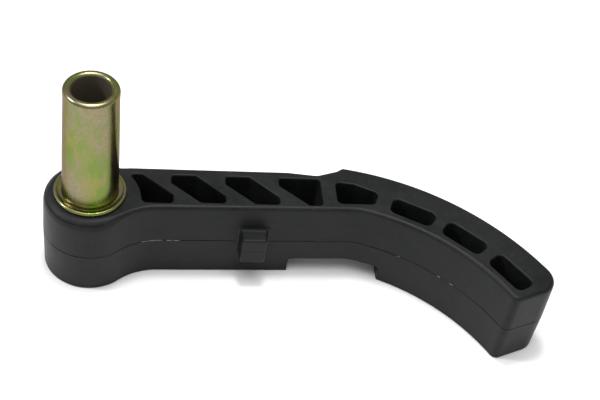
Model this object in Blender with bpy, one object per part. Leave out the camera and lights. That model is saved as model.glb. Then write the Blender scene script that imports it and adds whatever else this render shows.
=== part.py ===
"""Winch handle: a moulded lever arm carrying a plated steel sleeve and its collar.

The sleeve's axis is the Z axis before the handle is set on its origin.
The neck runs along +X and the hand grip curves away towards -Y.
"""

import math

import bmesh
import bpy
from mathutils import Vector

MM = 0.001
GAP = 0.3  # clearance kept between pieces that touch

ARM_HEIGHT = 40.0
PARTING_HEIGHT = ARM_HEIGHT / 2
DRAFT = 0.35  # how far each wall leans in from the parting line to a face
TOP_EDGE_ROUND = 1.9
UNDER_EDGE_ROUND = 0.8
BOSS_EDGE_ROUND = 4.0
BOSS_EDGE_FADE_X = (4.0, 18.0)  # the boss's wide edge narrows to the neck's between these
EDGE_STEPS = 3

# Every outline curve is an arc, tangent to its neighbours.
BOSS_RADIUS = 19.6
NECK_NEAR_Y = -9.1  # at the sleeve's axis, from where the near side leans in
NECK_NEAR_LEAN = math.radians(1.0)
NECK_FAR_Y = 16.05
NEAR_ROOT_RADIUS = 26.0
FAR_ROOT_RADIUS = 12.0
GRIP_CENTRE = (87.75, -98.7)
GRIP_INNER_RADIUS = 95.2
GRIP_OUTER_RADIUS = 120.3
GRIP_BEND_RADIUS = 20.0
GRIP_START_ANGLE = math.radians(79.7)
END_FACE_POINT = (182.25, -52.8)
END_FACE_ANGLE = math.radians(20.8)
END_NEAR_RADIUS = 3.5
END_FAR_RADIUS = 9.0

# The far side sinks a little before the shoulder, then steps up on to the grip.
CREST_RADIUS = 2.4
CREST_LEAD_ANGLE = 0.05
SHOULDER_CORNERS = ((106.35, 17.6, 1.2), (97.55, 14.6, 6.0), (84.75, NECK_FAR_Y, 20.0))

POCKET_DEPTH = 18.0
POCKET_DRAFT = 0.3
POCKET_CORNER = 2.2
RIB_CORNER = 1.5
BOSS_POCKET_TIP_CORNER = 1.1
POCKET_NEAR_Y = -4.6
POCKET_FAR_Y = 11.2
POCKET_PITCH = 23.2
FIRST_RIB_X = 33.95
RIB_RUN = 12.3  # how far along the neck a diagonal rib travels
RIB_THICKNESS = 0.5
RIB_FOOT_Y = -0.5
RIB_HEAD_Y = 6.6
RIB_TOP_SETBACK = 10.4
LAST_NECK_POCKET_X = 98.45
BOSS_POCKET_CENTRE = (-2.65, -3.66)
BOSS_POCKET_RADIUS = 24.0
BOSS_POCKET_NEAR_CORNER = 2.4
BOSS_POCKET_NEAR_Y = -5.2
BEND_POCKET = ((105.05, -3.0), (121.15, -3.0), (123.75, 3.6), (113.25, 8.6), (105.05, 9.8))
SLOT_INNER_RADIUS = 99.8
SLOT_OUTER_RADIUS = 108.4
SLOT_CORNER = 2.8
SLOT_SPAN = math.radians(10.7)
SLOT_PITCH = math.radians(13.75)
LAST_SLOT_ANGLE = math.radians(34.0)
SLOT_COUNT = 3

NOTCH_START_X = 86.75
NOTCH_END_X = 127.25
NOTCH_DEPTH = 8.5
NOTCH_CORNER = 1.8
NOTCH_REACH_Y = (-40.0, 40.0)

LUG_X = 69.75
LUG_FACE_Y = -14.4
LUG_ROOT_Y = -6.0
LUG_ROOT = (12.6, 14.8)
LUG_FACE = (10.6, 13.8)

SLEEVE_BORE_RADIUS = 15.875 / 2
SLEEVE_FOOT_RADIUS = 11.85
SLEEVE_TOP_RADIUS = 11.15
SLEEVE_RIM_RADIUS = 11.25
SLEEVE_HEIGHT = 97.0
SLEEVE_RIM_HEIGHT = 1.6
SLEEVE_EDGE = 0.6
COLLAR_RADIUS = 15.1
COLLAR_HEIGHT = 1.6
COLLAR_EDGE = 0.8
COLLAR_DISH = 0.8  # how far the collar's inner lip lies below its crown
ROUND_STEPS = 56
BOSS_BORE_RADIUS = SLEEVE_FOOT_RADIUS + GAP
CUT_MARGIN = 1.0  # how far a cutter reaches past the face it enters by


def clear_scene():
    for obj in list(bpy.data.objects):
        bpy.data.objects.remove(obj, do_unlink=True)


def polar(centre, radius, angle):
    return Vector((centre[0] + radius * math.cos(angle), centre[1] + radius * math.sin(angle)))


def direction_from(centre, point):
    return math.atan2(point[1] - centre[1], point[0] - centre[0])


def arc(centre, radius, start, end, step_length=3.0, least=3):
    """Points of an arc from one angle to another, both ends included."""
    steps = max(least, round(abs(end - start) * radius / step_length))
    return [polar(centre, radius, start + (end - start) * i / steps) for i in range(steps + 1)]


def tangent_centre(line_point, line_angle, offset, about, reach):
    """Centre of a circle tangent to a line and to an arc.

    It lies offset to the left of the line and at a distance of reach from the arc's centre;
    of the two such points, the one further along the line.
    """
    along = Vector((math.cos(line_angle), math.sin(line_angle)))
    left = Vector((-along.y, along.x))
    base = Vector(line_point) + left * offset - Vector(about)
    back = base.dot(along)
    travel = math.sqrt(back ** 2 - base.dot(base) + reach ** 2) - back
    return Vector(about) + base + along * travel


def rounded_corner(before, corner, after, radius, steps=4):
    """The arc that rounds the corner between two straight sides."""
    before, corner, after = Vector(before), Vector(corner), Vector(after)
    back = (before - corner).normalized()
    ahead = (after - corner).normalized()
    half = back.angle(ahead) / 2
    centre = corner + (back + ahead).normalized() * (radius / math.sin(half))
    start = corner + back * (radius / math.tan(half)) - centre
    end = corner + ahead * (radius / math.tan(half)) - centre
    sweep = start.angle_signed(end) * -1
    start_angle = math.atan2(start.y, start.x)
    return [polar(centre, radius, start_angle + sweep * i / steps) for i in range(steps + 1)]


def rounded_polygon(corners, radius):
    points = []
    for i, corner in enumerate(corners):
        points += rounded_corner(corners[i - 1], corner, corners[(i + 1) % len(corners)], radius)
    return points


def slot_corner(wall_radius, end_angle, bulge, side):
    """Rounds a slot's radial end into its curved wall.

    bulge is +1 at the outer wall and -1 at the inner one;
    side is +1 at the slot's low-angle end and -1 at its high-angle end.
    """
    reach = wall_radius - bulge * SLOT_CORNER
    centre = polar(GRIP_CENTRE, reach, end_angle + side * math.asin(SLOT_CORNER / reach))
    wall_angle = direction_from(GRIP_CENTRE, centre) + (0.0 if bulge > 0 else -side * math.pi)
    return arc(centre, SLOT_CORNER, end_angle - side * math.pi / 2, wall_angle, 1.2)


def slot_outline(centre_angle):
    low, high = centre_angle - SLOT_SPAN / 2, centre_angle + SLOT_SPAN / 2
    points = slot_corner(SLOT_INNER_RADIUS, low, -1, 1)[::-1]
    points += slot_corner(SLOT_OUTER_RADIUS, low, 1, 1)
    points += slot_corner(SLOT_OUTER_RADIUS, high, 1, -1)[::-1]
    points += slot_corner(SLOT_INNER_RADIUS, high, -1, -1)
    return points


def rib_pocket_outline(left, right_is_rib=True):
    """One neck pocket: a parallelogram between two diagonal ribs with its sharp corners cut off."""
    corners = [(left + RIB_RUN, POCKET_NEAR_Y)]
    if right_is_rib:
        right = left + POCKET_PITCH - RIB_THICKNESS
        corners += [(right, POCKET_NEAR_Y), (right, RIB_FOOT_Y)]
        corners += [(left + RIB_TOP_SETBACK, POCKET_FAR_Y)]
    else:
        corners += [(LAST_NECK_POCKET_X, POCKET_NEAR_Y), (LAST_NECK_POCKET_X, POCKET_FAR_Y)]
    corners += [(left, POCKET_FAR_Y), (left, RIB_HEAD_Y)]
    return rounded_polygon(corners, RIB_CORNER)


def boss_pocket_outline():
    """The pocket beside the boss, whose end curves round the boss and leans away on the near side."""
    right = FIRST_RIB_X + RIB_THICKNESS
    centre_y = BOSS_POCKET_CENTRE[1]
    low_angle = math.asin((BOSS_POCKET_NEAR_Y - centre_y) / BOSS_POCKET_RADIUS)
    high_angle = math.asin((POCKET_FAR_Y - centre_y) / BOSS_POCKET_RADIUS)
    wall = arc(BOSS_POCKET_CENTRE, BOSS_POCKET_RADIUS, high_angle, low_angle, 5.0)
    head = (right - POCKET_PITCH + RIB_TOP_SETBACK, POCKET_FAR_Y)
    foot = (right, RIB_FOOT_Y)
    corner = (right, BOSS_POCKET_NEAR_Y)
    points = wall[1:-1]
    points += rounded_corner(wall[-2], wall[-1], corner, BOSS_POCKET_NEAR_CORNER)
    points += rounded_corner(wall[-1], corner, foot, RIB_CORNER)
    points += rounded_corner(corner, foot, head, RIB_CORNER)
    points += rounded_corner(foot, head, wall[0], BOSS_POCKET_TIP_CORNER)
    points += rounded_corner(head, wall[0], wall[1], BOSS_POCKET_TIP_CORNER)
    return points


def pocket_outlines():
    outlines = [boss_pocket_outline()]
    outlines += [rib_pocket_outline(FIRST_RIB_X + POCKET_PITCH * i) for i in range(2)]
    outlines.append(rib_pocket_outline(FIRST_RIB_X + POCKET_PITCH * 2, right_is_rib=False))
    outlines.append(rounded_polygon(BEND_POCKET, POCKET_CORNER))
    outlines += [slot_outline(LAST_SLOT_ANGLE + SLOT_PITCH * i) for i in range(SLOT_COUNT)]
    return outlines


def arm_outline():
    """The arm at its parting line, anticlockwise: boss, near side, end face, far side."""
    boss = (0.0, 0.0)
    lean = NECK_NEAR_LEAN
    near_line = (0.0, NECK_NEAR_Y)
    far_line = (0.0, NECK_FAR_Y)
    near_root = tangent_centre(near_line, lean, -NEAR_ROOT_RADIUS, boss, BOSS_RADIUS + NEAR_ROOT_RADIUS)
    far_root = tangent_centre(far_line, 0.0, FAR_ROOT_RADIUS, boss, BOSS_RADIUS + FAR_ROOT_RADIUS)
    near_angle = direction_from(boss, near_root)
    far_angle = direction_from(boss, far_root)
    points = arc(boss, BOSS_RADIUS, far_angle, 2 * math.pi + near_angle)[1:]
    points += arc(near_root, NEAR_ROOT_RADIUS, near_angle + math.pi, lean + math.pi / 2)[1:]

    reach = GRIP_INNER_RADIUS - GRIP_BEND_RADIUS
    bend = tangent_centre(near_line, lean, -GRIP_BEND_RADIUS, GRIP_CENTRE, reach)
    bend_angle = direction_from(GRIP_CENTRE, bend)
    points += arc(bend, GRIP_BEND_RADIUS, lean + math.pi / 2, bend_angle)

    end_angle = END_FACE_ANGLE - math.pi / 2
    reach = GRIP_INNER_RADIUS + END_NEAR_RADIUS
    near_corner = tangent_centre(END_FACE_POINT, END_FACE_ANGLE, END_NEAR_RADIUS, GRIP_CENTRE, reach)
    inner_end = direction_from(GRIP_CENTRE, near_corner)
    points += arc(GRIP_CENTRE, GRIP_INNER_RADIUS, bend_angle, inner_end, 4.0)[1:-1]
    points += arc(near_corner, END_NEAR_RADIUS, inner_end - math.pi, end_angle, 1.5)

    reach = GRIP_OUTER_RADIUS - END_FAR_RADIUS
    far_corner = tangent_centre(END_FACE_POINT, END_FACE_ANGLE, END_FAR_RADIUS, GRIP_CENTRE, reach)
    outer_end = direction_from(GRIP_CENTRE, far_corner)
    points += arc(far_corner, END_FAR_RADIUS, end_angle, outer_end, 2.0)
    points += arc(GRIP_CENTRE, GRIP_OUTER_RADIUS, outer_end, GRIP_START_ANGLE, 4.0)[1:-2]

    crest = polar(GRIP_CENTRE, GRIP_OUTER_RADIUS, GRIP_START_ANGLE)
    before_crest = polar(GRIP_CENTRE, GRIP_OUTER_RADIUS, GRIP_START_ANGLE - CREST_LEAD_ANGLE)
    chain = [(*crest, CREST_RADIUS), *SHOULDER_CORNERS, (far_root.x, NECK_FAR_Y, 0.0)]
    behind = before_crest
    for here, ahead in zip(chain, chain[1:]):
        points += rounded_corner(behind, here[:2], ahead[:2], here[2])
        behind = here[:2]
    points += arc(far_root, FAR_ROOT_RADIUS, -math.pi / 2, far_angle - math.pi)
    return points


def offset_outline(points, distance):
    """The outline moved out by a distance along its own normals (in, when the distance is negative).

    The distance is one number, or a list with one number for each point.
    """
    distances = distance if isinstance(distance, list) else [distance] * len(points)
    moved = []
    for i, point in enumerate(points):
        before = (point - points[i - 1]).normalized()
        after = (points[(i + 1) % len(points)] - point).normalized()
        along = (before + after).normalized()
        moved.append(point + Vector((along.y, -along.x)) * (distances[i] / along.dot(after)))
    return moved


def loft(name, rings):
    """A closed solid through rings of 3D points in millimetres, lowest first."""
    mesh = bmesh.new()
    loops = [[mesh.verts.new(point * MM) for point in ring] for ring in rings]
    for low, high in zip(loops, loops[1:]):
        for i in range(len(low)):
            mesh.faces.new((low[i - 1], low[i], high[i], high[i - 1]))
    mesh.faces.new(loops[0][::-1])
    mesh.faces.new(loops[-1])
    return new_object(name, mesh)


def at_height(outline, height):
    return [Vector((*point, height)) for point in outline]


def turned(name, profile):
    """A ring turned about Z from a closed profile of (radius, height), anticlockwise."""
    mesh = bmesh.new()
    loops = []
    for i in range(ROUND_STEPS):
        angle = 2 * math.pi * i / ROUND_STEPS
        cos, sin = math.cos(angle), math.sin(angle)
        loops.append([mesh.verts.new((r * cos * MM, r * sin * MM, z * MM)) for r, z in profile])
    for i in range(ROUND_STEPS):
        here, following = loops[i - 1], loops[i]
        for j in range(len(profile)):
            mesh.faces.new((here[j - 1], following[j - 1], following[j], here[j]))
    bmesh.ops.recalc_face_normals(mesh, faces=mesh.faces)
    return new_object(name, mesh)


def prism(name, near_ring, far_ring):
    """A closed solid between two rings of 3D points in millimetres."""
    mesh = bmesh.new()
    loops = [[mesh.verts.new(point * MM) for point in ring] for ring in (near_ring, far_ring)]
    for i in range(len(near_ring)):
        mesh.faces.new((loops[0][i - 1], loops[0][i], loops[1][i], loops[1][i - 1]))
    mesh.faces.new(loops[0])
    mesh.faces.new(loops[1])
    bmesh.ops.recalc_face_normals(mesh, faces=mesh.faces)
    return new_object(name, mesh)


def new_object(name, mesh):
    data = bpy.data.meshes.new(name)
    mesh.to_mesh(data)
    mesh.free()
    data.shade_smooth()
    data.set_sharp_from_angle(angle=math.radians(35))
    obj = bpy.data.objects.new(name, data)
    bpy.context.scene.collection.objects.link(obj)
    return obj


def finish(obj, colour, roughness, metallic):
    material = bpy.data.materials.new(obj.name + "_finish")
    material.use_nodes = True
    shader = material.node_tree.nodes["Principled BSDF"]
    shader.inputs["Base Color"].default_value = (*colour, 1.0)
    shader.inputs["Roughness"].default_value = roughness
    shader.inputs["Metallic"].default_value = metallic
    obj.data.materials.append(material)


def combine(target, other, operation):
    other.hide_render = True
    other.display_type = "WIRE"
    modifier = target.modifiers.new(other.name, "BOOLEAN")
    modifier.operation = operation
    modifier.solver = "EXACT"
    modifier.object = other


def top_edge_radius(point):
    """The top edge is rounded widely on the boss and narrows on to the neck."""
    start, end = BOSS_EDGE_FADE_X
    share = min(1.0, max(0.0, (point.x - start) / (end - start)))
    share = share * share * (3 - 2 * share)
    return BOSS_EDGE_ROUND + (TOP_EDGE_ROUND - BOSS_EDGE_ROUND) * share


def edge_rings(outline, radii, face_height, toward):
    """Rings that round the edge next to a face; toward is +1 at the top face and -1 at the underside."""
    rings = []
    for i in range(EDGE_STEPS + 1):
        angle = math.pi / 2 * i / EDGE_STEPS
        insets = [-DRAFT - radius * (1 - math.cos(angle)) for radius in radii]
        moved = offset_outline(outline, insets)
        drop = 1 - math.sin(angle)
        rings.append([
            Vector((*point, face_height - toward * radius * drop)) for point, radius in zip(moved, radii)
        ])
    return rings


def make_arm_body():
    outline = arm_outline()
    under_radii = [UNDER_EDGE_ROUND] * len(outline)
    top_radii = [top_edge_radius(point) for point in outline]
    rings = edge_rings(outline, under_radii, 0.0, -1)[::-1]
    rings.append(at_height(outline, PARTING_HEIGHT))
    rings += edge_rings(outline, top_radii, ARM_HEIGHT, 1)
    return loft("lever_arm", rings)


def upright_rectangle(x, y, z, width, height):
    """A rectangle that faces along Y, as a ring of 3D points."""
    half, rise = width / 2, height / 2
    return [Vector((x + i * half, y, z + j * rise)) for i, j in ((-1, -1), (1, -1), (1, 1), (-1, 1))]


def make_lug():
    """The tapered box on the near side of the neck, split evenly by the parting line."""
    root = upright_rectangle(LUG_X, LUG_ROOT_Y, PARTING_HEIGHT, *LUG_ROOT)
    face = upright_rectangle(LUG_X, LUG_FACE_Y, PARTING_HEIGHT, *LUG_FACE)
    return prism("lug_form", root, face)


def make_pocket_cutter(index, outline, from_top):
    """A drafted core for one pocket, entering from the top face or from the underside."""
    bottom = offset_outline(outline, -POCKET_DRAFT)
    if from_top:
        rings = [at_height(bottom, ARM_HEIGHT - POCKET_DEPTH), at_height(outline, ARM_HEIGHT + CUT_MARGIN)]
        return loft(f"top_core_{index}", rings)
    return loft(f"under_core_{index}", [at_height(outline, -CUT_MARGIN), at_height(bottom, POCKET_DEPTH)])


def make_notch_cutter():
    """A straight channel across the underside with rounded upper corners."""
    left, right = NOTCH_START_X, NOTCH_END_X
    foot_left, foot_right = (left, -CUT_MARGIN), (right, -CUT_MARGIN)
    head_left, head_right = (left, NOTCH_DEPTH), (right, NOTCH_DEPTH)
    profile = [Vector(foot_left), Vector(foot_right)]
    profile += rounded_corner(foot_right, head_right, head_left, NOTCH_CORNER)
    profile += rounded_corner(head_right, head_left, foot_left, NOTCH_CORNER)
    near_y, far_y = NOTCH_REACH_Y
    near_ring = [Vector((point.x, near_y, point.y)) for point in profile]
    far_ring = [Vector((point.x, far_y, point.y)) for point in profile]
    return prism("notch_cutter", near_ring, far_ring)


def make_boss_bore_cutter():
    circle = arc((0.0, 0.0), BOSS_BORE_RADIUS, 0.0, 2 * math.pi, 2.0)[:-1]
    rings = [at_height(circle, height) for height in (-CUT_MARGIN, ARM_HEIGHT + CUT_MARGIN)]
    return loft("boss_bore_cutter", rings)


def make_lever_arm():
    """Returns the arm with the helper solids that shape it."""
    arm = make_arm_body()
    lug = make_lug()
    combine(arm, lug, "UNION")
    cutters = [make_boss_bore_cutter(), make_notch_cutter()]
    for index, outline in enumerate(pocket_outlines(), start=1):
        cutters.append(make_pocket_cutter(index, outline, from_top=True))
        cutters.append(make_pocket_cutter(index, outline, from_top=False))
    for cutter in cutters:
        combine(arm, cutter, "DIFFERENCE")
    finish(arm, (0.018, 0.018, 0.019), 0.5, 0.0)
    return [arm, lug, *cutters]


def make_pivot_sleeve():
    """The steel tube that runs right through the boss and stands above it."""
    bore = SLEEVE_BORE_RADIUS
    rim = SLEEVE_RIM_RADIUS
    top = SLEEVE_HEIGHT
    profile = [
        (bore, SLEEVE_EDGE),
        (bore + SLEEVE_EDGE, 0.0),
        (SLEEVE_FOOT_RADIUS - SLEEVE_EDGE, 0.0),
        (SLEEVE_FOOT_RADIUS, SLEEVE_EDGE),
        (SLEEVE_FOOT_RADIUS, ARM_HEIGHT + COLLAR_HEIGHT + GAP),
        (SLEEVE_TOP_RADIUS, top - 2 * SLEEVE_RIM_HEIGHT),
        (rim, top - SLEEVE_RIM_HEIGHT),
        (rim, top - SLEEVE_EDGE),
        (rim - SLEEVE_EDGE, top),
        (bore + SLEEVE_EDGE, top),
        (bore, top - SLEEVE_EDGE),
    ]
    sleeve = turned("pivot_sleeve", profile)
    finish(sleeve, (0.42, 0.36, 0.20), 0.3, 0.9)
    return sleeve


def make_sleeve_collar():
    """The dished steel ring round the sleeve that seats on the boss."""
    inner = SLEEVE_FOOT_RADIUS + GAP
    seat = ARM_HEIGHT + GAP
    crown = seat + COLLAR_HEIGHT
    lip = COLLAR_EDGE * (1 - math.sqrt(0.5))
    profile = [
        (inner, seat),
        (COLLAR_RADIUS - COLLAR_EDGE / 2, seat),
        (COLLAR_RADIUS, seat + COLLAR_EDGE / 2),
        (COLLAR_RADIUS, crown - COLLAR_EDGE),
        (COLLAR_RADIUS - lip, crown - lip),
        (COLLAR_RADIUS - COLLAR_EDGE, crown),
        (inner + COLLAR_DISH, crown - COLLAR_DISH),
        (inner, crown - COLLAR_DISH),
    ]
    collar = turned("sleeve_collar", profile)
    finish(collar, (0.50, 0.40, 0.20), 0.25, 0.9)
    return collar


def seat_on_origin(objects):
    """Moves the handle so that the middle of its box stands on the origin."""
    outline = arm_outline()
    low_x, high_x = min(p.x for p in outline), max(p.x for p in outline)
    low_y, high_y = min(p.y for p in outline), max(p.y for p in outline)
    origin = bpy.data.objects.new("handle_origin", None)
    bpy.context.scene.collection.objects.link(origin)
    origin.location = (-(low_x + high_x) / 2 * MM, -(low_y + high_y) / 2 * MM, 0.0)
    for obj in objects:
        obj.parent = origin


clear_scene()
pieces = make_lever_arm()
pieces.append(make_pivot_sleeve())
pieces.append(make_sleeve_collar())
seat_on_origin(pieces)
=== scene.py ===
import math
import bmesh
import bpy
from mathutils import Matrix, Vector


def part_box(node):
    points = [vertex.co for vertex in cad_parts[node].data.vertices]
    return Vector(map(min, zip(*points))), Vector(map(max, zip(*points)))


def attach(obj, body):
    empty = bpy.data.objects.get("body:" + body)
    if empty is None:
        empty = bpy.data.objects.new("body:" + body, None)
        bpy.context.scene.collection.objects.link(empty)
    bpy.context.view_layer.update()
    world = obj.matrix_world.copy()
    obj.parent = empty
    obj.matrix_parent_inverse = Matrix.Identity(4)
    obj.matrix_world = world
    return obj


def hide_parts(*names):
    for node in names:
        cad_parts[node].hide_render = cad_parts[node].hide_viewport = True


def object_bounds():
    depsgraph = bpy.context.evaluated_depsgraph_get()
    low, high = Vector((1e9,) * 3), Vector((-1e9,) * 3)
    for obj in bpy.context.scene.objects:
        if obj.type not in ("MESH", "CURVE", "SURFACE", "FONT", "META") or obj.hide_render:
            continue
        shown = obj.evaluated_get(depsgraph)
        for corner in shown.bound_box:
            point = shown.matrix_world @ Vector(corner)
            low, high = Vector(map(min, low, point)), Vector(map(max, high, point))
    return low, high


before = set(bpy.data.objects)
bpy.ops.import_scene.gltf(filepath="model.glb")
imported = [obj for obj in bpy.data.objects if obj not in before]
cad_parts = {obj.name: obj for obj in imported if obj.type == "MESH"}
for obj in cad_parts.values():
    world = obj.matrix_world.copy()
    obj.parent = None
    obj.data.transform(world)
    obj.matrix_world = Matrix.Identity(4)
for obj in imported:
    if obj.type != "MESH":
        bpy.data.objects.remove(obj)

cad_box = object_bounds()


# Studio.
# The handle stands on a plain pale table under one large soft box almost straight above
# it, with two small bright windows that shine back from the plated steel.

MM = 0.001
sleeve_low, sleeve_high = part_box("pivot_sleeve")
AXIS = Vector(((sleeve_low.x + sleeve_high.x) / 2, (sleeve_low.y + sleeve_high.y) / 2, sleeve_low.z))
VIEW_CENTRE = AXIS + Vector((92.92, 17.67, 20.0)) * MM
VIEW_DISTANCE = 0.546
VIEW_AZIMUTH = math.radians(-12.85)
VIEW_ELEVATION = math.radians(45.0)
VIEW_ROLL = math.radians(10.68)
VIEW_LENS = 72.65
SENSOR_WIDTH = 36.0
TABLE_SIZE = 4.0
CARD_DARK = (0.82, 0.82, 0.82)
CARD_PALE = (0.86, 0.86, 0.86)
ROOM_STRENGTH = 0.52
SOFT_BOXES = (
    ("overhead", Vector((0.02, -0.12, 1.05)), 0.95, 7.8),
    ("left_window", Vector((-0.72, 0.05, 0.72)), 0.16, 4.8),
    ("front_window", Vector((0.05, 0.10, 1.15)), 0.15, 5.4),
)


def heading(azimuth, elevation):
    """The direction that lies at an azimuth from -Y and an elevation above the table."""
    level = math.cos(elevation)
    return Vector((math.sin(azimuth) * level, -math.cos(azimuth) * level, math.sin(elevation)))


def link(obj):
    bpy.context.scene.collection.objects.link(obj)
    return obj


def aim(obj, place, target, roll=0.0):
    turn = (place - target).to_track_quat("Z", "Y").to_matrix().to_4x4()
    obj.matrix_world = Matrix.Translation(place) @ turn @ Matrix.Rotation(roll, 4, "Z")


def soft_box(name, place, target, size, power):
    lamp = bpy.data.lights.new(name, "AREA")
    lamp.shape = "DISK"
    lamp.size = size
    lamp.energy = power
    aim(link(bpy.data.objects.new(name, lamp)), place, target)


lens = bpy.data.cameras.new("camera")
lens.lens = VIEW_LENS
lens.sensor_width = SENSOR_WIDTH
camera = link(bpy.data.objects.new("camera", lens))
aim(camera, VIEW_CENTRE + heading(VIEW_AZIMUTH, VIEW_ELEVATION) * VIEW_DISTANCE, VIEW_CENTRE, VIEW_ROLL)
bpy.context.scene.camera = camera
bpy.context.scene.view_settings.view_transform = "Standard"


class Flow:
    """A shader socket that Python's operators work on, adding Math nodes as they go."""

    def __init__(self, finish, socket):
        self.finish = finish
        self.socket = socket

    def math(self, operation, *others):
        inputs = dict(enumerate((self, *others)))
        return self.finish.node("ShaderNodeMath", {"operation": operation}, inputs)

    def __add__(self, other):
        return self.math("ADD", other)

    __radd__ = __add__

    def __mul__(self, other):
        return self.math("MULTIPLY", other)

    __rmul__ = __mul__

    def __sub__(self, other):
        return self.math("SUBTRACT", other)

    def __rsub__(self, other):
        return self.finish.node("ShaderNodeMath", {"operation": "SUBTRACT"}, {0: other, 1: self})

    def __pow__(self, other):
        return self.math("POWER", other)

    def smooth(self, low, high):
        """0 below low and 1 above high, with a smooth rise between them."""
        settings = {"interpolation_type": "SMOOTHSTEP"}
        sockets = {"Value": self, "From Min": low, "From Max": high}
        return self.finish.node("ShaderNodeMapRange", settings, sockets, "Result")


class Finish:
    """One material and its node tree."""

    def __init__(self, name):
        self.material = bpy.data.materials.new(name)
        self.material.use_nodes = True
        self.tree = self.material.node_tree
        self.shader = self.tree.nodes["Principled BSDF"]

    def feed(self, socket, value):
        if isinstance(value, Flow):
            self.tree.links.new(value.socket, socket)
        elif isinstance(value, tuple) and len(value) == 3 and socket.type == "RGBA":
            socket.default_value = (*value, 1.0)
        else:
            socket.default_value = value

    def node(self, kind, settings=None, sockets=None, output=0):
        made = self.tree.nodes.new(kind)
        for name, value in (settings or {}).items():
            setattr(made, name, value)
        for name, value in (sockets or {}).items():
            self.feed(made.inputs[name], value)
        return Flow(self, made.outputs[output])

    def place(self, scale=(1.0, 1.0, 1.0)):
        """Object coordinates, stretched."""
        here = self.node("ShaderNodeTexCoord", output="Object")
        return self.node("ShaderNodeMapping", {}, {"Vector": here, "Scale": scale})

    def noise(self, vector, scale, detail=2.0, roughness=0.5, distortion=0.0):
        sockets = {
            "Vector": vector, "Scale": scale, "Detail": detail,
            "Roughness": roughness, "Distortion": distortion,
        }
        return self.node("ShaderNodeTexNoise", {}, sockets, "Fac")

    def blend(self, factor, first, second):
        """A colour between two colours."""
        made = self.tree.nodes.new("ShaderNodeMix")
        made.data_type = "RGBA"
        self.feed(made.inputs["Factor"], factor)
        self.feed(made.inputs[6], first)
        self.feed(made.inputs[7], second)
        return Flow(self, made.outputs[2])

    def parts(self, vector):
        """A vector's three numbers."""
        made = self.tree.nodes.new("ShaderNodeSeparateXYZ")
        self.feed(made.inputs[0], vector)
        return [Flow(self, socket) for socket in made.outputs]

    def bump(self, height, strength, distance):
        return self.node("ShaderNodeBump", {}, {"Height": height, "Strength": strength, "Distance": distance})

    def dress(self, **sockets):
        """Feeds the shader's sockets, named in lower case with underscores."""
        for name, value in sockets.items():
            title = name.replace("_", " ").title().replace("Ior", "IOR")
            self.feed(self.shader.inputs[title], value)
        return self.material


def flat_sheet(name, size, height):
    mesh = bmesh.new()
    bmesh.ops.create_grid(mesh, x_segments=1, y_segments=1, size=size / 2)
    bmesh.ops.translate(mesh, verts=mesh.verts, vec=(0.0, 0.0, height))
    data = bpy.data.meshes.new(name)
    mesh.to_mesh(data)
    mesh.free()
    return link(bpy.data.objects.new(name, data))


table_finish = Finish("table_card")
grain = table_finish.noise(table_finish.place(), 40.0, 3.0)
table_finish.dress(base_color=table_finish.blend(grain, CARD_DARK, CARD_PALE), roughness=0.7)
table = flat_sheet("table", TABLE_SIZE, cad_box[0].z)
table.data.materials.append(table_finish.material)


class Room(Finish):
    """The world: the same way of writing, with the Background node as its shader."""

    def __init__(self, name):
        self.material = bpy.data.worlds.new(name)
        self.material.use_nodes = True
        self.tree = self.material.node_tree
        self.shader = self.tree.nodes["Background"]


room = Room("room")
seen = room.node("ShaderNodeLightPath", output="Is Camera Ray")
room.dress(color=(1.0, 1.0, 1.0), strength=ROOM_STRENGTH + (1.0 - ROOM_STRENGTH) * seen)
bpy.context.scene.world = room.material
for lamp_name, place, size, power in SOFT_BOXES:
    soft_box(lamp_name, AXIS + place, AXIS, size, power)


# Lever arm.
# One moulding in black glass-filled nylon: boss, neck and hooked grip. Two mould
# halves meet at mid-height, so the walls lean in both ways from a fine parting line.

ARM_HEIGHT = 40.0
PARTING_HEIGHT = ARM_HEIGHT / 2
DRAFT = 0.35
TOP_EDGE = 1.9
UNDER_EDGE = 0.8
BOSS_EDGE = 4.0
BOSS_EDGE_FADE = (4.0, 18.0)
EDGE_STEPS = 7
CREASE_DEPTH = 0.07
CREASE_HEIGHT = 0.4
LOWER_RING_HEIGHT = 10.0
UPPER_RING_HEIGHT = 28.0
PARTING_DEPTH = 0.3
PARTING_DEPTH_DRIFT = 0.3
PARTING_HALF = 0.2
PARTING_WAVER = 0.16
WAVES = ((0.31, 0.17), (0.83, -0.59))
BOSS_CREASE_ANGLE = math.radians(34.0)
BOSS_CREASE_HALF = math.radians(3.5)
BOSS_CREASE_DEPTH = 0.3

BOSS_RADIUS = 19.6
NECK_NEAR_Y = -9.1
NECK_NEAR_LEAN = math.radians(1.0)
NECK_FAR_Y = 16.05
NEAR_ROOT_RADIUS = 26.0
FAR_ROOT_RADIUS = 12.0
GRIP_CENTRE = (87.75, -98.7)
GRIP_INNER_RADIUS = 95.2
GRIP_OUTER_RADIUS = 120.3
GRIP_BEND_RADIUS = 20.0
GRIP_START_ANGLE = math.radians(79.7)
END_FACE_POINT = (182.25, -52.8)
END_FACE_ANGLE = math.radians(20.8)
END_NEAR_RADIUS = 3.5
END_FAR_RADIUS = 9.0
CREST_RADIUS = 2.4
CREST_LEAD_ANGLE = 0.05
SHOULDER_CORNERS = ((106.35, 17.6, 1.2), (97.55, 14.6, 6.0), (84.75, NECK_FAR_Y, 20.0))
WALL_STEP = 0.9
CORNER_STEP = 0.5
LONGEST_RUN = 2.5


def polar(centre, radius, angle):
    return Vector((centre[0] + radius * math.cos(angle), centre[1] + radius * math.sin(angle)))


def direction_from(centre, point):
    return math.atan2(point[1] - centre[1], point[0] - centre[0])


def arc(centre, radius, start, end, step=WALL_STEP):
    """Points of an arc from one angle to another, both ends included."""
    steps = max(5, round(abs(end - start) * radius / step))
    return [polar(centre, radius, start + (end - start) * i / steps) for i in range(steps + 1)]


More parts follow.
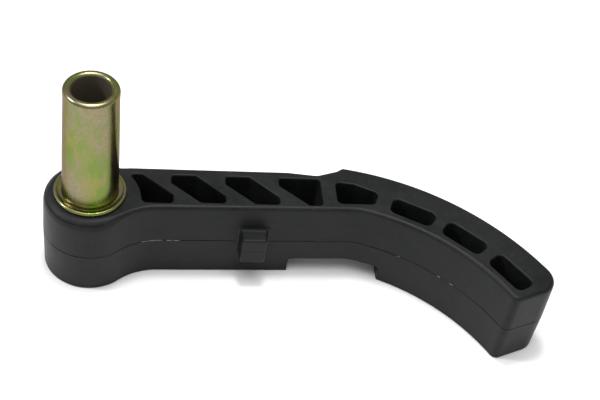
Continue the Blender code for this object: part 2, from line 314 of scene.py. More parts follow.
def tangent_centre(line_point, line_angle, offset, about, reach):
    """Centre of a circle tangent to a line and to an arc, on the line's left when offset is positive."""
    along = Vector((math.cos(line_angle), math.sin(line_angle)))
    left = Vector((-along.y, along.x))
    base = Vector(line_point) + left * offset - Vector(about)
    back = base.dot(along)
    travel = math.sqrt(back ** 2 - base.dot(base) + reach ** 2) - back
    return Vector(about) + base + along * travel


def rounded_corner(before, corner, after, radius, steps=7):
    """The arc that rounds the corner between two straight sides."""
    before, corner, after = Vector(before), Vector(corner), Vector(after)
    back = (before - corner).normalized()
    ahead = (after - corner).normalized()
    half = back.angle(ahead) / 2
    centre = corner + (back + ahead).normalized() * (radius / math.sin(half))
    start = corner + back * (radius / math.tan(half)) - centre
    end = corner + ahead * (radius / math.tan(half)) - centre
    sweep = -start.angle_signed(end)
    start_angle = math.atan2(start.y, start.x)
    return [polar(centre, radius, start_angle + sweep * i / steps) for i in range(steps + 1)]


def rounded_polygon(corners, radius, steps=7):
    points = []
    for i, corner in enumerate(corners):
        points += rounded_corner(corners[i - 1], corner, corners[(i + 1) % len(corners)], radius, steps)
    return points


def arm_outline():
    """The arm at its parting line, anticlockwise: boss, near side, end face, far side."""
    boss = (0.0, 0.0)
    lean = NECK_NEAR_LEAN
    near_line = (0.0, NECK_NEAR_Y)
    far_line = (0.0, NECK_FAR_Y)
    near_root = tangent_centre(near_line, lean, -NEAR_ROOT_RADIUS, boss, BOSS_RADIUS + NEAR_ROOT_RADIUS)
    far_root = tangent_centre(far_line, 0.0, FAR_ROOT_RADIUS, boss, BOSS_RADIUS + FAR_ROOT_RADIUS)
    near_angle = direction_from(boss, near_root)
    far_angle = direction_from(boss, far_root)
    points = arc(boss, BOSS_RADIUS, far_angle, 2 * math.pi + near_angle)[1:]
    points += arc(near_root, NEAR_ROOT_RADIUS, near_angle + math.pi, lean + math.pi / 2)[1:]

    reach = GRIP_INNER_RADIUS - GRIP_BEND_RADIUS
    bend = tangent_centre(near_line, lean, -GRIP_BEND_RADIUS, GRIP_CENTRE, reach)
    bend_angle = direction_from(GRIP_CENTRE, bend)
    points += arc(bend, GRIP_BEND_RADIUS, lean + math.pi / 2, bend_angle)

    end_angle = END_FACE_ANGLE - math.pi / 2
    reach = GRIP_INNER_RADIUS + END_NEAR_RADIUS
    near_corner = tangent_centre(END_FACE_POINT, END_FACE_ANGLE, END_NEAR_RADIUS, GRIP_CENTRE, reach)
    inner_end = direction_from(GRIP_CENTRE, near_corner)
    points += arc(GRIP_CENTRE, GRIP_INNER_RADIUS, bend_angle, inner_end)[1:-1]
    points += arc(near_corner, END_NEAR_RADIUS, inner_end - math.pi, end_angle, CORNER_STEP)

    reach = GRIP_OUTER_RADIUS - END_FAR_RADIUS
    far_corner = tangent_centre(END_FACE_POINT, END_FACE_ANGLE, END_FAR_RADIUS, GRIP_CENTRE, reach)
    outer_end = direction_from(GRIP_CENTRE, far_corner)
    points += arc(far_corner, END_FAR_RADIUS, end_angle, outer_end)
    points += arc(GRIP_CENTRE, GRIP_OUTER_RADIUS, outer_end, GRIP_START_ANGLE)[1:-3]

    crest = polar(GRIP_CENTRE, GRIP_OUTER_RADIUS, GRIP_START_ANGLE)
    before_crest = polar(GRIP_CENTRE, GRIP_OUTER_RADIUS, GRIP_START_ANGLE - CREST_LEAD_ANGLE)
    chain = [(*crest, CREST_RADIUS), *SHOULDER_CORNERS, (far_root.x, NECK_FAR_Y, 0.0)]
    behind = before_crest
    for here, ahead in zip(chain, chain[1:]):
        points += rounded_corner(behind, here[:2], ahead[:2], here[2])
        behind = here[:2]
    points += arc(far_root, FAR_ROOT_RADIUS, -math.pi / 2, far_angle - math.pi)
    return points


def evenly(points, longest):
    """Adds points to the long straight runs of a closed outline."""
    filled = []
    for i, point in enumerate(points):
        ahead = points[(i + 1) % len(points)]
        count = max(1, math.ceil((ahead - point).length / longest))
        filled += [point.lerp(ahead, j / count) for j in range(count)]
    return filled


def side_directions(points):
    """For each point of a closed outline, the outward direction that keeps an offset parallel."""
    directions = []
    for i, point in enumerate(points):
        before = (point - points[i - 1]).normalized()
        after = (points[(i + 1) % len(points)] - point).normalized()
        along = (before + after).normalized()
        directions.append(Vector((along.y, -along.x)) / along.dot(after))
    return directions


def rise(low, high, value):
    share = min(1.0, max(0.0, (value - low) / (high - low)))
    return share * share * (3 - 2 * share)


def top_edge_radius(point):
    return BOSS_EDGE + (TOP_EDGE - BOSS_EDGE) * rise(*BOSS_EDGE_FADE, point.x)


def waver(point):
    """A slow uneven drift between -1 and 1 along the parting line."""
    return sum(math.sin(point.x * across + point.y * ahead) for across, ahead in WAVES) / len(WAVES)


def wall_rings(outline):
    """Rings up the outside of the arm, from the underside to the top face."""
    outward = side_directions(outline)
    top_radii = [top_edge_radius(point) for point in outline]
    half_height = ARM_HEIGHT - PARTING_HEIGHT

    def ring(stands, heights):
        return [
            Vector((*(point + side * stand), height))
            for point, side, stand, height in zip(outline, outward, stands, heights)
        ]

    def draft_at(height):
        return -DRAFT * abs(height - PARTING_HEIGHT) / half_height

    def level_ring(stand, height):
        return ring([stand] * len(outline), [height] * len(outline))

    rings = []
    for i in range(EDGE_STEPS, -1, -1):
        angle = math.pi / 2 * i / EDGE_STEPS
        height = UNDER_EDGE * (1 - math.sin(angle))
        stand = -DRAFT - UNDER_EDGE * (1 - math.cos(angle))
        rings.append(level_ring(stand, height))
    rings.append(level_ring(draft_at(LOWER_RING_HEIGHT), LOWER_RING_HEIGHT))
    drift = [waver(point) for point in outline]
    for side in (-1, 0, 1):
        deep = (1 - abs(side)) * PARTING_DEPTH
        stands = [-deep * (1 - PARTING_DEPTH_DRIFT + PARTING_DEPTH_DRIFT * share) for share in drift]
        heights = [PARTING_HEIGHT + PARTING_WAVER * share + side * PARTING_HALF for share in drift]
        rings.append(ring(stands, heights))
    rings.append(level_ring(draft_at(UPPER_RING_HEIGHT), UPPER_RING_HEIGHT))
    for below, depth in ((CREASE_HEIGHT, 0.0), (CREASE_HEIGHT / 2, CREASE_DEPTH)):
        heights = [ARM_HEIGHT - radius - below for radius in top_radii]
        depths = [depth * rise(*BOSS_EDGE_FADE, point.x) for point in outline]
        rings.append(ring([draft_at(height) - inset for height, inset in zip(heights, depths)], heights))
    turns = [(math.pi / 2 * i / EDGE_STEPS, 0.0) for i in range(EDGE_STEPS + 1)]
    turns += [
        (BOSS_CREASE_ANGLE + i * BOSS_CREASE_HALF, (1 - abs(i)) * BOSS_CREASE_DEPTH) for i in (-1, 0, 1)
    ]
    for angle, crease in sorted(turns):
        depths = [crease * (1 - rise(*BOSS_EDGE_FADE, point.x)) for point in outline]
        rounds = [radius - depth for radius, depth in zip(top_radii, depths)]
        heights = [
            ARM_HEIGHT - radius + inner * math.sin(angle) for radius, inner in zip(top_radii, rounds)
        ]
        stands = [-DRAFT - radius + inner * math.cos(angle) for radius, inner in zip(top_radii, rounds)]
        rings.append(ring(stands, heights))
    return rings


def loft_mesh(name, rings):
    """A closed solid through rings of points in millimetres, set at the sleeve's axis."""
    mesh = bmesh.new()
    loops = [[mesh.verts.new(AXIS + point * MM) for point in ring] for ring in rings]
    for low, high in zip(loops, loops[1:]):
        for i in range(len(low)):
            mesh.faces.new((low[i - 1], low[i], high[i], high[i - 1]))
    mesh.faces.new(loops[0][::-1])
    mesh.faces.new(loops[-1])
    bmesh.ops.recalc_face_normals(mesh, faces=mesh.faces)
    data = bpy.data.meshes.new(name)
    mesh.to_mesh(data)
    mesh.free()
    return link(bpy.data.objects.new(name, data))


def applied(obj):
    """The object with its modifiers made part of its mesh."""
    bpy.context.view_layer.update()
    graph = bpy.context.evaluated_depsgraph_get()
    finished = bpy.data.meshes.new_from_object(obj.evaluated_get(graph))
    obj.modifiers.clear()
    obj.data = finished
    return obj


def cut(target, tool, operation="DIFFERENCE"):
    modifier = target.modifiers.new(tool.name, "BOOLEAN")
    modifier.operation = operation
    modifier.solver = "EXACT"
    modifier.object = tool
    applied(target)
    bpy.data.objects.remove(tool)


arm = loft_mesh("arm_moulding", wall_rings(evenly(arm_outline(), LONGEST_RUN)))


# Pocket cores.
# Steel cores in the mould leave sixteen pockets, eight from each face, with diagonal ribs
# along the neck and curved slots along the grip. Their mouths and floors are rounded.

POCKET_DEPTH = 18.0
POCKET_DRAFT = 0.3
POCKET_MOUTH = 0.75
POCKET_FLOOR = 1.2
MOUTH_TURN = math.radians(82.0)
FLOOR_STEPS = 4
MOUTH_STEPS = 5
CORE_OVERSHOOT = 1.0
POCKET_CORNER = 2.2
RIB_CORNER = 1.5
BOSS_POCKET_TIP_CORNER = 1.1
POCKET_NEAR_Y = -4.6
POCKET_FAR_Y = 11.2
POCKET_PITCH = 23.2
FIRST_RIB_X = 33.95
RIB_RUN = 12.3
RIB_THICKNESS = 0.5
RIB_FOOT_Y = -0.5
RIB_HEAD_Y = 6.6
RIB_TOP_SETBACK = 10.4
LAST_NECK_POCKET_X = 98.45
BOSS_POCKET_CENTRE = (-2.65, -3.66)
BOSS_POCKET_RADIUS = 24.0
BOSS_POCKET_NEAR_CORNER = 2.4
BOSS_POCKET_NEAR_Y = -5.2
BOSS_POCKET_STEP = 2.4
BEND_POCKET = ((105.05, -3.0), (121.15, -3.0), (123.75, 3.6), (113.25, 8.6), (105.05, 9.8))
SLOT_INNER_RADIUS = 99.8
SLOT_OUTER_RADIUS = 108.4
SLOT_CORNER = 2.8
SLOT_SPAN = math.radians(10.7)
SLOT_PITCH = math.radians(13.75)
LAST_SLOT_ANGLE = math.radians(34.0)
SLOT_COUNT = 3
BOSS_BORE_RADIUS = 12.15


def slot_corner(wall_radius, end_angle, bulge, side):
    """Rounds a slot's radial end into its outer (bulge 1) or inner (bulge -1) curved wall."""
    reach = wall_radius - bulge * SLOT_CORNER
    centre = polar(GRIP_CENTRE, reach, end_angle + side * math.asin(SLOT_CORNER / reach))
    wall_angle = direction_from(GRIP_CENTRE, centre) + (0.0 if bulge > 0 else -side * math.pi)
    return arc(centre, SLOT_CORNER, end_angle - side * math.pi / 2, wall_angle, CORNER_STEP)


def slot_outline():
    low, high = LAST_SLOT_ANGLE - SLOT_SPAN / 2, LAST_SLOT_ANGLE + SLOT_SPAN / 2
    points = slot_corner(SLOT_INNER_RADIUS, low, -1, 1)[::-1]
    points += slot_corner(SLOT_OUTER_RADIUS, low, 1, 1)
    points += slot_corner(SLOT_OUTER_RADIUS, high, 1, -1)[::-1]
    points += slot_corner(SLOT_INNER_RADIUS, high, -1, -1)
    return points


def rib_pocket_outline(left, right_is_rib=True):
    """One neck pocket: a parallelogram between two diagonal ribs with its sharp corners cut off."""
    corners = [(left + RIB_RUN, POCKET_NEAR_Y)]
    if right_is_rib:
        right = left + POCKET_PITCH - RIB_THICKNESS
        corners += [(right, POCKET_NEAR_Y), (right, RIB_FOOT_Y)]
        corners += [(left + RIB_TOP_SETBACK, POCKET_FAR_Y)]
    else:
        corners += [(LAST_NECK_POCKET_X, POCKET_NEAR_Y), (LAST_NECK_POCKET_X, POCKET_FAR_Y)]
    corners += [(left, POCKET_FAR_Y), (left, RIB_HEAD_Y)]
    return rounded_polygon(corners, RIB_CORNER)


def boss_pocket_outline():
    """The pocket beside the boss, whose end curves round the boss and leans away on the near side."""
    right = FIRST_RIB_X + RIB_THICKNESS
    centre_y = BOSS_POCKET_CENTRE[1]
    low_angle = math.asin((BOSS_POCKET_NEAR_Y - centre_y) / BOSS_POCKET_RADIUS)
    high_angle = math.asin((POCKET_FAR_Y - centre_y) / BOSS_POCKET_RADIUS)
    wall = arc(BOSS_POCKET_CENTRE, BOSS_POCKET_RADIUS, high_angle, low_angle, BOSS_POCKET_STEP)
    head = (right - POCKET_PITCH + RIB_TOP_SETBACK, POCKET_FAR_Y)
    foot = (right, RIB_FOOT_Y)
    corner = (right, BOSS_POCKET_NEAR_Y)
    points = wall[2:-2]
    points += rounded_corner(wall[-2], wall[-1], corner, BOSS_POCKET_NEAR_CORNER)
    points += rounded_corner(wall[-1], corner, foot, RIB_CORNER)
    points += rounded_corner(corner, foot, head, RIB_CORNER)
    points += rounded_corner(foot, head, wall[0], BOSS_POCKET_TIP_CORNER)
    points += rounded_corner(head, wall[0], wall[1], BOSS_POCKET_TIP_CORNER)
    return points


def core_rings(outline):
    """A core for the top face: rounded floor, drafted wall and a mouth that flares to the face."""
    outward = side_directions(outline)
    profile = []
    for i in range(FLOOR_STEPS + 1):
        angle = math.pi / 2 * i / FLOOR_STEPS
        stand = -POCKET_DRAFT - POCKET_FLOOR * (1 - math.sin(angle))
        profile.append((stand, ARM_HEIGHT - POCKET_DEPTH + POCKET_FLOOR * (1 - math.cos(angle))))
    for i in range(MOUTH_STEPS + 1):
        angle = MOUTH_TURN * i / MOUTH_STEPS
        stand = POCKET_MOUTH * (1 - math.cos(angle))
        profile.append((stand, ARM_HEIGHT - POCKET_MOUTH * (1 - math.sin(angle))))
    profile.append((profile[-1][0], ARM_HEIGHT + CORE_OVERSHOOT))
    return [
        [Vector((*(point + side * stand), height)) for point, side in zip(outline, outward)]
        for stand, height in profile
    ]


def node_adder(tree):
    """A function that adds one node to a Geometry Nodes tree, with its settings, values and links."""
    def add(kind, links=None, **settings):
        made = tree.nodes.new(kind)
        for name, value in settings.items():
            setattr(made, name, value)
        for name, source in (links or {}).items():
            if hasattr(source, "links"):
                tree.links.new(source, made.inputs[name])
            else:
                made.inputs[name].default_value = source
        return made

    return add


def repeat_tree():
    """Copies a core in even steps along a line or round a centre, then mirrors the row to the other face."""
    tree = bpy.data.node_groups.new("repeat_cores", "GeometryNodeTree")
    face = tree.interface
    face.new_socket("Core", in_out="INPUT", socket_type="NodeSocketGeometry")
    for name, kind in (("Count", "Int"), ("Step", "Vector"), ("Turn", "Float"), ("Turn Centre", "Vector"),
                       ("Mirror Height", "Float"), ("Material", "Material")):
        face.new_socket(name, in_out="INPUT", socket_type="NodeSocket" + kind)
    face.new_socket("Cores", in_out="OUTPUT", socket_type="NodeSocketGeometry")

    add = node_adder(tree)
    given = add("NodeGroupInput").outputs
    one = add("GeometryNodeGeometryToInstance", {0: given["Core"]})
    copies = add("GeometryNodeDuplicateElements", {"Geometry": one.outputs[0], "Amount": given["Count"]},
                 domain="INSTANCE")
    number = copies.outputs["Duplicate Index"]
    shift = add("ShaderNodeVectorMath", {0: given["Step"], 1: number}, operation="MULTIPLY")
    moved = add("GeometryNodeTranslateInstances", {"Instances": copies.outputs["Geometry"],
                                                   "Translation": shift.outputs[0]})
    angle = add("ShaderNodeMath", {0: given["Turn"], 1: number}, operation="MULTIPLY")
    turn = add("ShaderNodeCombineXYZ", {"Z": angle.outputs[0]})
    turned = add("GeometryNodeRotateInstances", {"Instances": moved.outputs[0], "Rotation": turn.outputs[0],
                                                 "Pivot Point": given["Turn Centre"]})
    turned.inputs["Local Space"].default_value = False
    row = add("GeometryNodeRealizeInstances", {0: turned.outputs[0]})
    lift = add("ShaderNodeMath", {0: given["Mirror Height"], 1: 2.0}, operation="MULTIPLY")
    up = add("ShaderNodeCombineXYZ", {"Z": lift.outputs[0]})
    below = add("GeometryNodeTransform", {"Geometry": row.outputs[0], "Translation": up.outputs[0],
                                          "Scale": (1.0, 1.0, -1.0)})
    faced = add("GeometryNodeFlipFaces", {"Mesh": below.outputs[0]})
    both = add("GeometryNodeJoinGeometry")
    tree.links.new(faced.outputs[0], both.inputs[0])
    tree.links.new(row.outputs[0], both.inputs[0])
    whole = add("GeometryNodeRealizeInstances", {0: both.outputs[0]})
    painted = add("GeometryNodeSetMaterial", {"Geometry": whole.outputs[0], "Material": given["Material"]})
    tree.links.new(painted.outputs[0], add("NodeGroupOutput").inputs[0])
    return tree


def set_inputs(modifier, **values):
    """Sets a Geometry Nodes modifier's inputs through their sockets' identifiers."""
    for item in modifier.node_group.interface.items_tree:
        key = item.name.lower().replace(" ", "_")
        if item.item_type == "SOCKET" and item.in_out == "INPUT" and key in values:
            modifier[item.identifier] = values[key]


nylon = Finish("moulded_nylon")
repeat_cores = repeat_tree()


def core_row(name, outline, count=1, step=0.0, turn=0.0):
    core = loft_mesh(name, core_rings(outline))
    modifier = core.modifiers.new("repeat", "NODES")
    modifier.node_group = repeat_cores
    set_inputs(
        modifier, count=count, step=(step * MM, 0.0, 0.0), turn=turn,
        turn_centre=AXIS + Vector((*GRIP_CENTRE, 0.0)) * MM,
        mirror_height=AXIS.z + PARTING_HEIGHT * MM, material=nylon.material,
    )
    return applied(core)


last_pocket = rib_pocket_outline(FIRST_RIB_X + POCKET_PITCH * 2, right_is_rib=False)
cut(arm, core_row("boss_pocket_cores", boss_pocket_outline()))
cut(arm, core_row("rib_pocket_cores", rib_pocket_outline(FIRST_RIB_X), count=2, step=POCKET_PITCH))
cut(arm, core_row("last_neck_cores", last_pocket))
cut(arm, core_row("bend_cores", rounded_polygon(BEND_POCKET, POCKET_CORNER)))
cut(arm, core_row("slot_cores", slot_outline(), count=SLOT_COUNT, turn=SLOT_PITCH))

bore_circle = arc((0.0, 0.0), BOSS_BORE_RADIUS, 0.0, 2 * math.pi)[:-1]
bore_ends = (-CORE_OVERSHOOT, ARM_HEIGHT + CORE_OVERSHOOT)
bore_rings = [[Vector((*point, height)) for point in bore_circle] for height in bore_ends]
cut(arm, loft_mesh("boss_bore_core", bore_rings))


# Underside notch.
# A shallow channel with a flat roof, moulded right across the underside at the bend, to
# clear a bar or the edge of a housing. Its corners are rounded and its mouth has a lip.

NOTCH_START_X = 86.75
NOTCH_END_X = 127.25
NOTCH_DEPTH = 8.5
NOTCH_CORNER = 1.8
NOTCH_LIP = 0.7
NOTCH_LIP_STEP = 0.3
NOTCH_REACH_Y = 40.0

left, right, foot = NOTCH_START_X, NOTCH_END_X, -CORE_OVERSHOOT
notch = [Vector((left - NOTCH_LIP, foot)), Vector((right + NOTCH_LIP, foot))]
notch += arc((right + NOTCH_LIP, NOTCH_LIP), NOTCH_LIP, -math.pi / 2, -math.pi, NOTCH_LIP_STEP)
notch += rounded_corner((right, 0.0), (right, NOTCH_DEPTH), (left, NOTCH_DEPTH), NOTCH_CORNER)
notch += rounded_corner((right, NOTCH_DEPTH), (left, NOTCH_DEPTH), (left, 0.0), NOTCH_CORNER)
notch += arc((left - NOTCH_LIP, NOTCH_LIP), NOTCH_LIP, 0.0, -math.pi / 2, NOTCH_LIP_STEP)
notch_rings = [
    [Vector((point.x, side * NOTCH_REACH_Y, point.y)) for point in notch] for side in (-1, 1)
]
cut(arm, loft_mesh("notch_core", notch_rings))


# Side lug.
# A tapered stop block moulded on to the near side of the neck, halved by the parting line,
# with a small fillet at its root and rounded edges on its face.

LUG_X = 69.75
LUG_FACE_Y = -14.4
LUG_ROOT_Y = -6.0
LUG_WALL_Y = -7.9
LUG_ROOT_SIZE = (12.6, 14.8)
LUG_FACE_SIZE = (10.6, 13.8)
LUG_EDGE = 0.9
LUG_FILLET = 1.2
LUG_CORNER = 1.0
LUG_LEAST_CORNER = 0.3
LUG_CORNER_STEPS = 5
LUG_ROUND_STEPS = 6


def lug_ring(y, grow):
    """One upright rounded rectangle of the lug, tapering with its distance from the neck."""
    share = (y - LUG_ROOT_Y) / (LUG_FACE_Y - LUG_ROOT_Y)
    half = [(root + (face - root) * share) / 2 + grow for root, face in zip(LUG_ROOT_SIZE, LUG_FACE_SIZE)]
    corners = [(i * half[0], j * half[1]) for i, j in ((-1, -1), (1, -1), (1, 1), (-1, 1))]
    ring = rounded_polygon(corners, max(LUG_LEAST_CORNER, LUG_CORNER + grow / 2), LUG_CORNER_STEPS)
    return [Vector((LUG_X + point.x, y, PARTING_HEIGHT + point.y)) for point in ring]


quarter = [math.pi / 2 * i / LUG_ROUND_STEPS for i in range(LUG_ROUND_STEPS + 1)]
lug_rings = [lug_ring(LUG_ROOT_Y, LUG_FILLET)]
lug_rings += [
    lug_ring(LUG_WALL_Y - LUG_FILLET * (1 - math.cos(angle)), LUG_FILLET * (1 - math.sin(angle)))
    for angle in quarter
]
lug_rings += [
    lug_ring(LUG_FACE_Y + LUG_EDGE * (1 - math.sin(angle)), -LUG_EDGE * (1 - math.cos(angle)))
    for angle in quarter
]
cut(arm, loft_mesh("lug_form", lug_rings), "UNION")


# Arm's finish.
# Black glass-filled nylon with a fine spark-eroded grain, a little cloudy where it flowed,
# and with shade painted into its colour, in patches, along the parting line's groove.

SHARP_ANGLE = math.radians(38.0)
MERGE_DISTANCE = 0.00001
NYLON_DEEP = (0.0040, 0.0046, 0.0052)
NYLON_CLOUDY = (0.0125, 0.0128, 0.0126)
# Painted shade: the near-black that stands in for the shade in the parting line's groove, and how far from
# the line it fades.
SEAM_SHADE_BLACK = (0.001, 0.001, 0.001)
SEAM_FADE = (0.0001, 0.0004)
NYLON_GRAIN_DEPTH = 0.0002


def smooth_shaded(obj):
    """Merges doubles, then shades smooth except across hard edges."""
    mesh = bmesh.new()
    mesh.from_mesh(obj.data)
    bmesh.ops.remove_doubles(mesh, verts=mesh.verts, dist=MERGE_DISTANCE)
    bmesh.ops.recalc_face_normals(mesh, faces=mesh.faces)
    mesh.to_mesh(obj.data)
    mesh.free()
    obj.data.shade_smooth()
    obj.data.set_sharp_from_angle(angle=SHARP_ANGLE)
    weighted = obj.modifiers.new("face_weighted", "WEIGHTED_NORMAL")
    weighted.keep_sharp = True
    return applied(obj)


smooth_shaded(arm)
arm.data.materials.clear()
arm.data.materials.append(nylon.material)

where = nylon.place()
cloud = nylon.noise(where, 55.0, 4.0, 0.6)
fleck = nylon.noise(where, 480.0, 4.0, 0.65)
flow = nylon.noise(nylon.place(scale=(60.0, 240.0, 240.0)), 1.0, 3.0, 0.55)
spark = nylon.noise(where, 1900.0, 2.0, 0.7)
tone = cloud.smooth(0.3, 0.7) * 0.5 + fleck.smooth(0.35, 0.75) * 0.3 + flow.smooth(0.35, 0.7) * 0.2
height = nylon.parts(where)[2]
from_seam = (height - (AXIS.z + PARTING_HEIGHT * MM)).math("ABSOLUTE")
# Painted shade: the base colour goes near-black in patches along the parting line, in place of the shade in
# its groove; roughness rises there too.
parting_shade = (1.0 - from_seam.smooth(*SEAM_FADE)) * cloud.smooth(0.35, 0.6)
nylon.dress(
    base_color=nylon.blend(parting_shade, nylon.blend(tone, NYLON_DEEP, NYLON_CLOUDY), SEAM_SHADE_BLACK),
    roughness=0.24 + 0.24 * cloud + 0.2 * fleck + 0.3 * parting_shade,
    specular_ior_level=0.17,
    normal=nylon.bump(spark * 0.6 + fleck * 0.8 + cloud, 0.5, NYLON_GRAIN_DEPTH),
)

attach(arm, "root")
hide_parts("lever_arm")


# Parting flash.
# Paper-thin slivers of nylon that squeezed between the mould halves and stand out of the
# parting line, most of them where the neck leaves the boss, with a few along the grip.

FLASH_LENGTH = 2.6
FLASH_HEIGHT = 0.34
FLASH_REACH = 0.5
FLASH_SCALE = (0.45, 1.25)
FLASH_SEED = 7
TORN_DARK = (0.05, 0.052, 0.05)
TORN_PALE = (0.20, 0.20, 0.19)


def seam_path(name, low, high, step):
    """A run of points along the near side of the parting line, between two places along the arm."""
    points = evenly(arm_outline(), step)
    faced = zip(points, side_directions(points))
    near = [point for point, outward in faced if low < point.x < high and outward.y < 0.0]
    mesh = bpy.data.meshes.new(name)
    mesh.from_pydata([AXIS + Vector((*point, PARTING_HEIGHT)) * MM for point in near], [], [])
    mesh.attributes.new("facing", "FLOAT_VECTOR", "POINT")
    for i, value in enumerate(mesh.attributes["facing"].data):
        before, after = near[max(0, i - 1)], near[min(len(near) - 1, i + 1)]
        value.vector = Vector((*(after - before).normalized(), 0.0))
    return link(bpy.data.objects.new(name, mesh))


def flash_tree():
    """Puts a flattened sliver on each point that chance keeps, turned along the seam."""
    tree = bpy.data.node_groups.new("flash_slivers", "GeometryNodeTree")
    face = tree.interface
    face.new_socket("Path", in_out="INPUT", socket_type="NodeSocketGeometry")
    for name, kind in (("Keep", "Float"), ("Size", "Vector"), ("Least Scale", "Float"),
                       ("Most Scale", "Float"), ("Seed", "Int"), ("Material", "Material")):
        face.new_socket(name, in_out="INPUT", socket_type="NodeSocket" + kind)
    face.new_socket("Slivers", in_out="OUTPUT", socket_type="NodeSocketGeometry")

    add = node_adder(tree)
    given = add("NodeGroupInput").outputs
    facing = add("GeometryNodeInputNamedAttribute", {"Name": "facing"}, data_type="FLOAT_VECTOR")
    turn = add("FunctionNodeAlignRotationToVector", {"Vector": facing.outputs[0]}, axis="X")
    chance = add("FunctionNodeRandomValue", {"Seed": given["Seed"], "Probability": given["Keep"]},
                 data_type="BOOLEAN")
    kept = next(socket for socket in chance.outputs if socket.enabled)
    shape = add("GeometryNodeMeshIcoSphere", {"Radius": 1.0, "Subdivisions": 2})
    thin = add("GeometryNodeTransform", {"Geometry": shape.outputs[0], "Scale": given["Size"]})
    grow = add("FunctionNodeRandomValue", {"Seed": given["Seed"], 2: given["Least Scale"],
                                           3: given["Most Scale"]}, data_type="FLOAT")
    size = next(socket for socket in grow.outputs if socket.enabled)
    placed = add("GeometryNodeInstanceOnPoints", {
        "Points": given["Path"], "Selection": kept, "Instance": thin.outputs[0],
        "Rotation": turn.outputs[0], "Scale": size,
    })
    whole = add("GeometryNodeRealizeInstances", {0: placed.outputs[0]})
    painted = add("GeometryNodeSetMaterial", {"Geometry": whole.outputs[0], "Material": given["Material"]})
    tree.links.new(painted.outputs[0], add("NodeGroupOutput").inputs[0])
    return tree


torn = Finish("torn_nylon")
patch = torn.noise(torn.place(), 700.0, 3.0)
torn.dress(base_color=torn.blend(patch, TORN_DARK, TORN_PALE), roughness=0.35 + 0.3 * patch)
flash_slivers = flash_tree()


def flash(name, span, step, keep):
    """Slivers along one stretch of the parting line, step apart, of which a share is kept."""
    slivers = seam_path(name, *span, step)
    modifier = slivers.modifiers.new("slivers", "NODES")
    modifier.node_group = flash_slivers
    set_inputs(
        modifier, keep=keep, seed=FLASH_SEED, material=torn.material,
        least_scale=FLASH_SCALE[0], most_scale=FLASH_SCALE[1],
        size=(FLASH_LENGTH / 2 * MM, FLASH_REACH / 2 * MM, FLASH_HEIGHT / 2 * MM),
    )
    applied(slivers)
    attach(slivers, "root")


flash("neck_flash", span=(22.5, 37.0), step=1.1, keep=0.8)
flash("grip_flash", span=(112.0, 176.0), step=2.0, keep=0.045)


# Pivot sleeve.
# Steel tube pressed through the boss, its open end rounded over and slightly swollen,
# plated with zinc and passivated yellow, so that it shines green, gold and pink.

SLEEVE_BORE = 15.875 / 2
SLEEVE_FOOT = 11.85
SLEEVE_RIM = 11.25
SLEEVE_HEIGHT = 97.0
SLEEVE_SIDE = ((11.7, 46.0), (11.62, 62.0), (11.35, 80.0), (11.15, 90.0), (11.17, 92.4), (11.19, 94.0))
SLEEVE_EDGE = 0.5
RIM_ROUND = 1.75
RIM_BORE_ROUND = 1.45
ROUND_STEPS = 128
ZINC_GREEN = (0.155, 0.215, 0.050)
ZINC_GOLD = (0.245, 0.225, 0.080)
ZINC_PINK = (0.215, 0.165, 0.135)
ZINC_PALE_PINK = (0.275, 0.225, 0.175)
BORE_BROWN = (0.105, 0.088, 0.062)
BORE_FADE = (0.0079, 0.0084)
ZINC_GRAIN_DEPTH = 0.00006


def turned_mesh(name, profile):
    """A ring turned round the sleeve's axis from a closed profile of radius and height."""
    mesh = bmesh.new()
    loops = []
    for i in range(ROUND_STEPS):
        angle = 2 * math.pi * i / ROUND_STEPS
        spoke = Vector((math.cos(angle), math.sin(angle), 0.0))
        loops.append([
            mesh.verts.new(AXIS + (spoke * radius + Vector((0.0, 0.0, height))) * MM)
            for radius, height in profile
        ])
    for i, loop in enumerate(loops):
        ahead = loops[(i + 1) % ROUND_STEPS]
        for j in range(len(profile)):
            mesh.faces.new((loop[j - 1], ahead[j - 1], ahead[j], loop[j]))
    data = bpy.data.meshes.new(name)
    mesh.to_mesh(data)
    mesh.free()
    return smooth_shaded(link(bpy.data.objects.new(name, data)))


def curl(centre, radius, start, end, steps=8):
    """Profile points round a rounded edge, angles in degrees."""
    spread = [math.radians(start + (end - start) * i / steps) for i in range(steps + 1)]
    return [(centre[0] + radius * math.cos(a), centre[1] + radius * math.sin(a)) for a in spread]


sleeve_profile = curl((SLEEVE_BORE + SLEEVE_EDGE, SLEEVE_EDGE), SLEEVE_EDGE, 180, 270, 4)
sleeve_profile += curl((SLEEVE_FOOT - SLEEVE_EDGE, SLEEVE_EDGE), SLEEVE_EDGE, -90, 0, 4)
sleeve_profile += [(SLEEVE_FOOT, ARM_HEIGHT), *SLEEVE_SIDE]
sleeve_profile += curl((SLEEVE_RIM - RIM_ROUND, SLEEVE_HEIGHT - RIM_ROUND), RIM_ROUND, 0, 88, 14)
rim_well = (SLEEVE_BORE + RIM_BORE_ROUND, SLEEVE_HEIGHT - RIM_BORE_ROUND)
sleeve_profile += curl(rim_well, RIM_BORE_ROUND, 90, 180, 8)
sleeve = turned_mesh("zinc_sleeve", sleeve_profile)

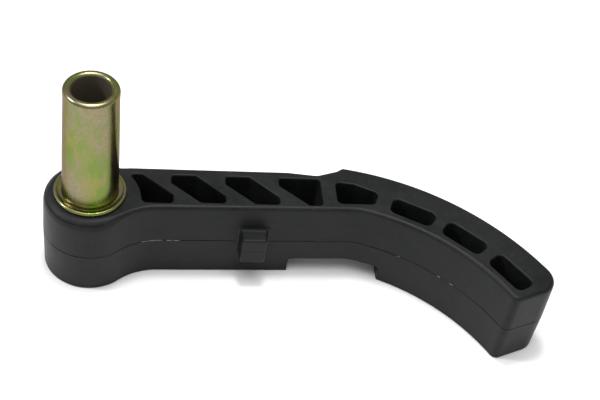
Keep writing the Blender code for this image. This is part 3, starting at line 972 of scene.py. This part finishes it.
zinc = Finish("yellow_zinc")
where = zinc.place()
tint = zinc.noise(zinc.place(scale=(75.0, 75.0, 22.0)), 1.0, 4.0, 0.6, 0.5)
blotch = zinc.noise(zinc.place(scale=(170.0, 170.0, 100.0)), 1.0, 4.0, 0.65, 0.5)
speck = zinc.noise(where, 900.0, 3.0, 0.6)
streak = zinc.noise(zinc.place(scale=(900.0, 900.0, 40.0)), 1.0, 2.0, 0.5)
spokes = zinc.node("ShaderNodeVectorMath", {"operation": "SUBTRACT"}, {0: where, 1: tuple(AXIS)})
across, depth, height = zinc.parts(spokes)
from_axis = (across * across + depth * depth) ** 0.5
inside = 1.0 - from_axis.smooth(*BORE_FADE)
green_gold = zinc.blend(blotch.smooth(0.35, 0.65), ZINC_GREEN, ZINC_GOLD)
rosy = zinc.blend(speck.smooth(0.3, 0.7), ZINC_PINK, ZINC_PALE_PINK)
plated_skin = zinc.blend((tint * 0.75 + blotch * 0.25).smooth(0.38, 0.68) * 0.9, green_gold, rosy)
zinc.dress(
    base_color=zinc.blend(inside, plated_skin, BORE_BROWN),
    metallic=1.0 - 0.6 * inside,
    roughness=0.15 + 0.14 * blotch + 0.08 * streak + 0.4 * inside,
    specular_tint=(0.50, 0.42, 0.44),
    normal=zinc.bump(streak * 0.5 + speck * 0.5 + blotch, 0.3, ZINC_GRAIN_DEPTH),
)


def plated(piece, node):
    """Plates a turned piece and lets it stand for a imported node."""
    piece.data.materials.clear()
    piece.data.materials.append(zinc.material)
    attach(piece, "root")
    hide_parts(node)


plated(sleeve, "pivot_sleeve")


# Sleeve collar.
# A thin dished steel ring round the foot of the sleeve, plated like it, that spreads the
# load on to the boss. Its rim is rolled up, and the dish inside it parts it from the tube.

COLLAR_RADIUS = 15.1
COLLAR_SEAT = 40.05
COLLAR_CROWN = 41.9
COLLAR_ROLL = 0.85
COLLAR_FOOT_EDGE = 0.4
DISH_FALL = 0.85
DISH_ROUND = 3.2
DISH_LOW_FROM_BORE = 0.75
COLLAR_INNER = 11.87

foot_edge = (COLLAR_RADIUS - COLLAR_FOOT_EDGE, COLLAR_SEAT + COLLAR_FOOT_EDGE)
dish_centre = (COLLAR_INNER + DISH_LOW_FROM_BORE, COLLAR_CROWN - DISH_FALL + DISH_ROUND)
collar_profile = [(COLLAR_INNER, COLLAR_SEAT)]
collar_profile += curl(foot_edge, COLLAR_FOOT_EDGE, -90, 0, 4)
roll_centre = (COLLAR_RADIUS - COLLAR_ROLL, COLLAR_CROWN - COLLAR_ROLL)
collar_profile += curl(roll_centre, COLLAR_ROLL, 0, 115, 10)
collar_profile += curl(dish_centre, DISH_ROUND, -62, -103, 8)
plated(turned_mesh("zinc_collar", collar_profile), "sleeve_collar")
